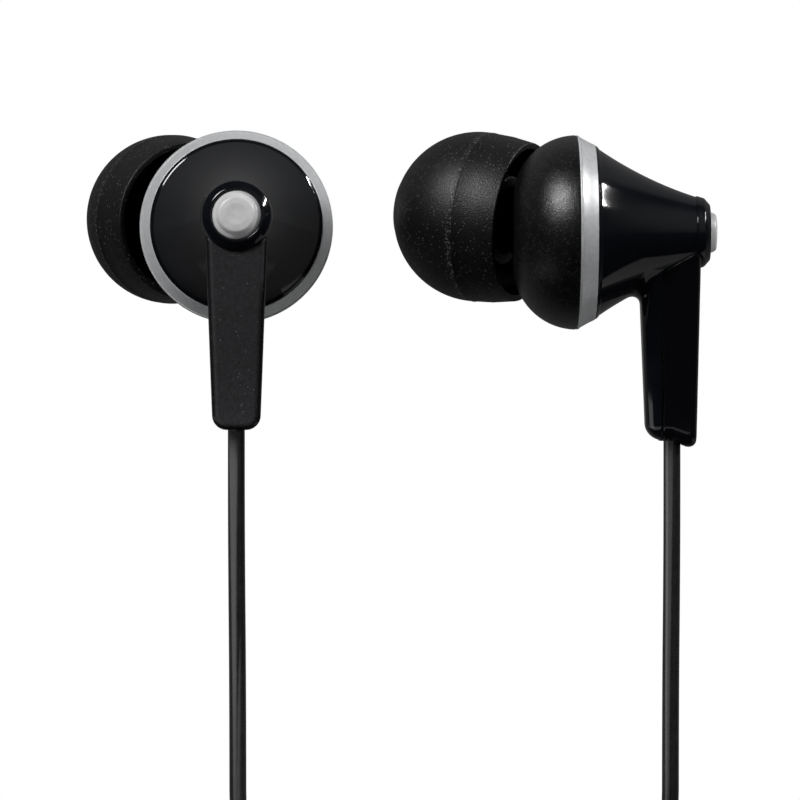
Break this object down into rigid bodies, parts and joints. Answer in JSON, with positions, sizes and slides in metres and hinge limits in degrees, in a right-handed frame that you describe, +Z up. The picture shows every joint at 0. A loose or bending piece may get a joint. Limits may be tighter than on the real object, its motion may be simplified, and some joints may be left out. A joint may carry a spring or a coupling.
{
  "type": "wired earphones",
  "caption": "In-ear earphones with soft tips, a short stem on each earpiece, a cord joined at a splitter and a round audio plug.",
  "frame": {"origin": "centre of the sound opening of the left ear tip", "axes": "+X to the viewer's right across both earpieces, +Y away from the viewer, +Z up; the cords hang down along -Z"},
  "size_m": [0.0446, 0.0281, 0.1508],
  "materials": {
    "tip_silicone": "matt silicone",
    "front_shell": "fine matt texture",
    "ring_metal": "satin grey",
    "cap_metal": "satin light grey",
    "rear_shell": "smooth gloss",
    "stem_strip": "matt with fine speckle",
    "bush_rubber": "matt",
    "crimp_metal": "tinned",
    "gasket_foam": "closed-cell foam",
    "film": "formed polymer film",
    "dome_film": "metallised film",
    "coil_wire": "bonded copper winding",
    "basket": "moulded",
    "steel": "nickel-plated",
    "magnet": "nickel-plated",
    "felt": "pressed felt",
    "board": "solder resist",
    "mesh": "punched",
    "lead_enamel": "enamelled copper",
    "cord_jacket": "semi-matt elastomer",
    "tie_rubber": "matt",
    "splitter_plastic": "fine matt",
    "relief_rubber": "matt",
    "grip_plastic": "fine matt",
    "contact_metal": "gold-plated",
    "insulator": "moulded"
  },
  "bodies": {
    "set": {"left_accent_ring": "ring_metal", "left_end_cap": "cap_metal", "left_rear_housing": "rear_shell", "left_stem_cover": "stem_strip", "left_cord_bushing": "bush_rubber", "left_cord_clamp": "crimp_metal", "left_driver_gasket": "gasket_foam", "left_surround": "film", "left_driver_frame": "basket", "left_yoke": "steel", "left_magnet": "magnet", "left_pole_plate": "steel", "left_damping_felt": "felt", "left_solder_board": "board", "left_front_housing": "front_shell", "left_nozzle_mesh": "mesh", "left_lead_wires": "lead_enamel", "left_cord": "cord_jacket", "left_cord_hank": "cord_jacket", "left_splitter_cord": "cord_jacket", "right_accent_ring": "ring_metal", "right_end_cap": "cap_metal", "right_rear_housing": "rear_shell", "right_stem_cover": "stem_strip", "right_cord_bushing": "bush_rubber", "right_cord_clamp": "crimp_metal", "right_driver_gasket": "gasket_foam", "right_surround": "film", "right_driver_frame": "basket", "right_yoke": "steel", "right_magnet": "magnet", "right_pole_plate": "steel", "right_damping_felt": "felt", "right_solder_board": "board", "right_front_housing": "front_shell", "right_nozzle_mesh": "mesh", "right_lead_wires": "lead_enamel", "right_cord": "cord_jacket", "right_cord_hank": "cord_jacket", "right_splitter_cord": "cord_jacket", "cord_tie": "tie_rubber", "cord_splitter": "splitter_plastic", "trunk_cord": "cord_jacket", "trunk_hank": "cord_jacket", "plug_cord": "cord_jacket", "plug_relief": "relief_rubber", "plug_grip": "grip_plastic", "plug_sleeve": "contact_metal", "plug_insulators": "insulator", "plug_ring": "contact_metal", "plug_tip": "contact_metal"},
    "left_tip": {"left_ear_tip": "tip_silicone"},
    "right_tip": {"right_ear_tip": "tip_silicone"},
    "left_diaphragm": {"left_diaphragm_dome": "dome_film", "left_voice_coil": "coil_wire"},
    "right_diaphragm": {"right_diaphragm_dome": "dome_film", "right_voice_coil": "coil_wire"}
  },
  "joints": [
    {"name": "left_tip_pull", "type": "slide", "parent": "set", "child": "left_tip", "axis": [-0.4276, 0.903, 0.0409], "range_m": [0, 0.0045]},
    {"name": "right_tip_pull", "type": "slide", "parent": "set", "child": "right_tip", "axis": [-0.9169, 0.3817, 0.1167], "range_m": [0, 0.0045]},
    {"name": "left_diaphragm_stroke", "type": "slide", "parent": "set", "child": "left_diaphragm", "axis": [-0.0087, 0.9965, -0.0837], "range_m": [-0.00012, 0.00012], "stiffness_N_per_m": 300},
    {"name": "right_diaphragm_stroke", "type": "slide", "parent": "set", "child": "right_diaphragm", "axis": [-0.9991, -0.0419, 0], "range_m": [-0.00012, 0.00012], "stiffness_N_per_m": 300}
  ]
}
